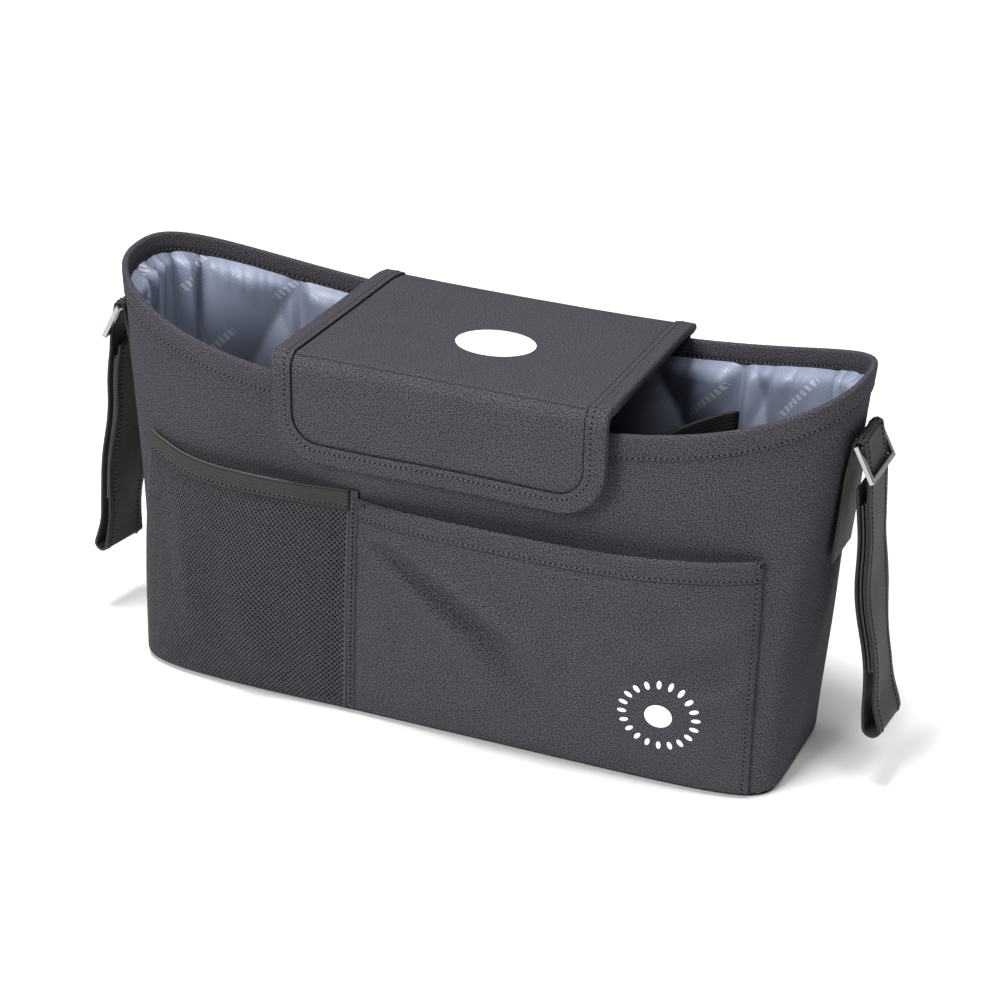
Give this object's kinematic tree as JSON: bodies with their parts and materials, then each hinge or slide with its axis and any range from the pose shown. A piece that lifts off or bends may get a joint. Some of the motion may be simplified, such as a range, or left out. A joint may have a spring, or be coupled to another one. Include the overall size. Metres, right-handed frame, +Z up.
{
  "type": "stroller organizer",
  "caption": "Open-topped canvas organizer bag with a gathered lining, hinged middle lid, net and slip front pockets, inner dividers and ring straps that hang it from a stroller handle.",
  "frame": {"origin": "Middle of the base panel's underside, on the surface that the bag stands on.", "axes": "+X to the right as seen from the front, along the bag's length; +Y away from the front pockets to the back; +Z up."},
  "size_m": [0.4436, 0.1548, 0.2156],
  "materials": {
    "charcoal_canvas": "matte twill",
    "canvas_trim": "matte twill",
    "blue_grey_lining": "satin",
    "grey_board": "matte",
    "black_elastic": "ribbed",
    "dark_olive_elastic": "ribbed",
    "dark_net": "net",
    "dark_webbing": "woven",
    "polished_nickel": "polished",
    "loop_tape": "fuzzy",
    "hook_tape": "matte",
    "white_print": "matte"
  },
  "bodies": {
    "bag": {"base_panel": "charcoal_canvas", "base_board": "grey_board", "front_panel": "charcoal_canvas", "back_panel": "charcoal_canvas", "rim_facing": "charcoal_canvas", "lining": "blue_grey_lining", "left_divider": "blue_grey_lining", "left_divider_elastic": "black_elastic", "right_divider": "blue_grey_lining", "right_divider_elastic": "black_elastic", "mesh_pocket": "dark_net", "mesh_pocket_elastic": "dark_olive_elastic", "pocket_seam_strip": "canvas_trim", "front_pocket": "charcoal_canvas", "pocket_print": "white_print", "front_loop_tape": "loop_tape", "lid_hinge_strip": "charcoal_canvas", "left_strap": "dark_webbing", "left_loop_tape": "loop_tape", "left_hook_tape": "hook_tape", "left_ring": "polished_nickel", "right_strap": "dark_webbing", "right_loop_tape": "loop_tape", "right_hook_tape": "hook_tape", "right_ring": "polished_nickel"},
    "lid": {"lid_cover": "charcoal_canvas", "lid_padding": "grey_board", "lid_lining": "blue_grey_lining", "lid_binding": "canvas_trim", "lid_badge": "white_print", "lid_hook_tape": "hook_tape"}
  },
  "joints": [
    {"name": "lid_hinge", "type": "hinge", "parent": "bag", "child": "lid", "pos_m": [0, 0.0837, 0.1905], "axis": [-1, 0, 0], "range_deg": [0, 240]}
  ]
}
